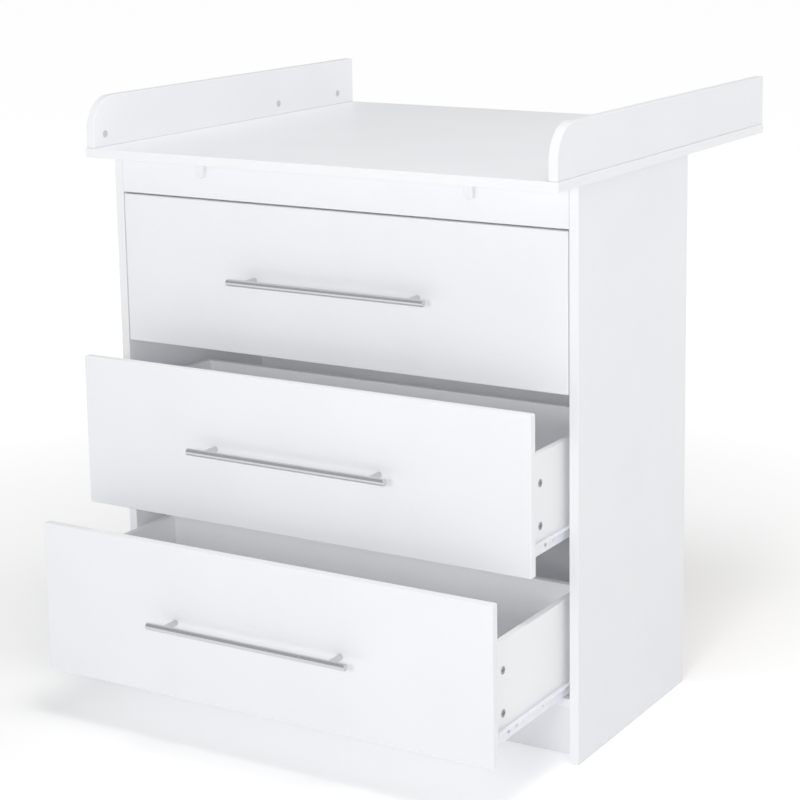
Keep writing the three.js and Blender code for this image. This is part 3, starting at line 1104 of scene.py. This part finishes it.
for name in drawer_names:
    for side, sign in (("left", -1), ("right", 1)):
        wall_low, wall_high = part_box(f"drawer_{name}_wall_{side}")
        wall_inner, wall_outer = sorted((abs(wall_low.x), abs(wall_high.x)))
        panel_inner = min(abs(v.x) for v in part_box(f"side_panel_{side}"))
        for node, kind in (
            (f"drawer_{name}_runner_{side}", "profile"),
            (f"cabinet_runner_{name}_{side}", "channel"),
        ):
            low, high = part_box(node)
            in_drawer = kind == "profile"
            roller_node = (
                f"drawer_{name}_roller_{side}" if in_drawer else f"cabinet_roller_{name}_{side}"
            )
            roller_low, roller_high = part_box(roller_node)
            axle = (roller_low + roller_high) / 2
            web_x = wall_outer + slide_room + strip if in_drawer else panel_inner - slide_room
            if in_drawer:
                flange_end = max(abs(roller_low.x), abs(roller_high.x))
                path = [
                    (wall_inner, low.z),
                    (web_x, low.z),
                    (web_x, high.z - strip),
                    (flange_end, high.z - strip),
                ]
                folds = {path[1]: fold_outside, path[2]: fold_inside}
                head_x, pin_web = max(abs(low.x), abs(high.x)), web_x - strip / 2
            else:
                flange_end = wall_outer + slide_room + strip + 1.0 * MM
                path = [
                    (flange_end, low.z),
                    (web_x, low.z),
                    (web_x, high.z),
                    (flange_end, high.z),
                ]
                folds = {path[1]: fold_outside, path[2]: fold_outside}
                head_x, pin_web = min(abs(low.x), abs(high.x)), web_x - strip / 2
            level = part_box(f"cabinet_roller_{name}_{side}")
            hole_z = (level[0].z + level[1].z) / 2
            first, last = low.y + hole_from_end, high.y - hole_from_end
            holes = [
                (first, hole_z, 0),
                (first + hole_to_slot, hole_z, slot_length),
                ((first + last) / 2, hole_z, 0),
                (last - hole_to_slot, hole_z, slot_length),
                (last, hole_z, 0),
            ]
            bm = folded_strip(path, folds, low.y, high.y, holes)
            bmesh.ops.solidify(bm, geom=bm.faces[:], thickness=strip)
            add_pin(bm, pin_web, head_x, axle.y, axle.z)
            bmesh.ops.scale(bm, vec=(sign, 1, 1), verts=bm.verts)
            bmesh.ops.remove_doubles(bm, verts=bm.verts, dist=TOUCH)
            bmesh.ops.recalc_face_normals(bm, faces=bm.faces)
            make_piece(
                f"{name}_{side}_runner_{kind}",
                bm,
                [coated_steel, zinc_plated],
                body_of_node[node],
                [node],
            )
            screws = bmesh.new()
            open_side = web_x if in_drawer else web_x - strip
            outward = (sign if in_drawer else -sign, 0, 0)
            for y in (first, last):
                stamp(screws, runner_screw, (sign * open_side, y, hole_z), outward)
            make_piece(
                f"{name}_{side}_{kind}_screws",
                screws,
                [zinc_plated, recess_shade],
                body_of_node[node],
            )

# ---------------------------------------------------------------- rollers
# Nylon wheels, 17 mm across and 6 mm wide, that turn on the riveted pins. The two on the chest
# stand at the front of the channels, and the two on each drawer run inside them.


# Moulded nylon: off-white, slightly see-through, polished by rolling. The eye gets a soft warm
# white with a dull gloss and faint flow marks about 2 mm long.
def moulded_nylon():
    finish, tree, shader, place = new_finish(
        "moulded_nylon",
        IOR=1.53,
        Subsurface_Weight=0.2,
        Subsurface_Radius=(0.002, 0.002, 0.0018),
        Subsurface_Scale=1.0,
    )
    flow = add_node(
        tree,
        "ShaderNodeTexNoise",
        {"Scale": 500, "Detail": 3, "Distortion": 0.6},
        {"Vector": place},
    )
    lay_surface(
        tree,
        shader,
        ("#E9E8E2", "#DCDAD2", flow.outputs["Fac"]),
        (0.32, 0.48, flow.outputs["Fac"]),
        (0.2, 0.1 * MM, flow.outputs["Fac"]),
    )
    return finish


nylon = moulded_nylon()
for name in drawer_names:
    for side in ("left", "right"):
        for node in (f"cabinet_roller_{name}_{side}", f"drawer_{name}_roller_{side}"):
            low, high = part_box(node)
            middle = (low + high) / 2
            half, radius = (high.x - low.x) / 2, (high.z - low.z) / 2
            flank = [
                (half, 2.3 * MM),
                (half, 3.8 * MM),
                (half - 0.7 * MM, 4.2 * MM),
                (half - 0.7 * MM, radius - 2.1 * MM),
                (half, radius - 1.7 * MM),
                (half, radius - 0.8 * MM),
                (half - 0.3 * MM, radius - 0.25 * MM),
                (half - 0.8 * MM, radius),
            ]
            profile = [(middle.x + x, r) for x, r in flank]
            profile += [(middle.x - x, r) for x, r in reversed(flank)]
            bm = bmesh.new()
            turned(bm, profile, middle.y, middle.z)
            bmesh.ops.remove_doubles(bm, verts=bm.verts, dist=TOUCH)
            bmesh.ops.recalc_face_normals(bm, faces=bm.faces)
            kind = "front" if node.startswith("cabinet") else "rear"
            make_piece(
                f"{name}_{side}_{kind}_wheel", bm, [nylon], body_of_node[node], [node]
            )

# ---------------------------------------------------------------- studio
# A wide opal floor with a painted glow that brightens it away from the chest, in a dim white room.
# The main softbox stands in front, low enough to shine into the open drawers. Others stand at the
# right, behind and overhead.


# Opal acrylic floor: a cast white sheet whose own emission is painted glow, faint in the middle and
# brighter away from it, lifting the shade round the chest. The eye gets an almost shadowless white,
# with soft clouding a hand across and a satin skin whose grain is drawn at 4 mm.
def opal_floor_painted_glow():
    finish, tree, shader, place = new_finish("opal_floor_painted_glow", IOR=1.49)
    cloudy = add_node(tree, "ShaderNodeTexNoise", {"Scale": 1.3, "Detail": 3}, {"Vector": place})
    grain = add_node(tree, "ShaderNodeTexNoise", {"Scale": 250, "Detail": 2}, {"Vector": place})
    from_middle = add_node(
        tree, "ShaderNodeVectorMath", {"operation": "LENGTH"}, {0: place}
    )
    glow = add_node(
        tree,
        "ShaderNodeMapRange",
        {
            "interpolation_type": "SMOOTHSTEP",
            "From Min": 0.8,
            "From Max": 2.8,
            "To Min": 0.16,
            "To Max": 0.65,
        },
        {"Value": from_middle.outputs["Value"]},
    )
    # The floor's emission is painted glow, weakest under the chest and strongest far from it.
    shader.inputs["Emission Color"].default_value = (1, 1, 1, 1)
    tree.links.new(glow.outputs["Result"], shader.inputs["Emission Strength"])
    lay_surface(
        tree,
        shader,
        ("#FEFEFE", "#FBFBFC", cloudy.outputs["Fac"]),
        (0.75, 0.9, grain.outputs["Fac"]),
        (0.1, 0.2 * MM, grain.outputs["Fac"]),
    )
    return finish


floor_mesh = bmesh.new()
level = Matrix.Translation((0, 0, cad_low.z - 0.5 * MM))
bmesh.ops.create_grid(floor_mesh, x_segments=4, y_segments=4, size=60, matrix=level)
floor_data = kept_mesh("studio_floor", floor_mesh)
floor_data.materials.append(opal_floor_painted_glow())
floor = bpy.data.objects.new("studio_floor", floor_data)
bpy.context.scene.collection.objects.link(floor)

sky = bpy.data.worlds.new("white_sky")
sky.use_nodes = True
sky_light = next(n for n in sky.node_tree.nodes if n.type == "BACKGROUND")
sky_light.inputs["Color"].default_value = (0.985, 0.992, 1.0, 1.0)
sky_light.inputs["Strength"].default_value = 0.34
bpy.context.scene.world = sky

# Light inside a white drawer is reflected many times.
bpy.context.scene.cycles.diffuse_bounces = 10
bpy.context.scene.cycles.max_bounces = 14


def softbox(name, place, aim, size, power):
    lamp = bpy.data.lights.new(name, "AREA")
    lamp.shape = "SQUARE"
    lamp.size = size
    lamp.energy = power
    lamp.color = (1.0, 0.995, 0.98)
    light = bpy.data.objects.new(name, lamp)
    bpy.context.scene.collection.objects.link(light)
    light.location = place
    light.rotation_euler = (Vector(aim) - Vector(place)).to_track_quat("-Z", "Y").to_euler()


softbox("front_softbox", (0.9, -3.2, 1.3), (0.1, 0, 0.55), 0.7, 32)
softbox("side_softbox", (3.2, -0.8, 1.5), (0, 0, 0.5), 1.2, 3)
softbox("rear_softbox", (1.6, 2.2, 2.2), (0.3, 0.2, 0.95), 1.0, 13)
softbox("overhead_softbox", (0.7, -0.6, 3.6), (0.2, 0, 0.95), 1.2, 49)

bpy.context.scene.view_settings.view_transform = "Standard"
bpy.context.scene.view_settings.look = "None"
bpy.context.scene.view_settings.gamma = 1.6
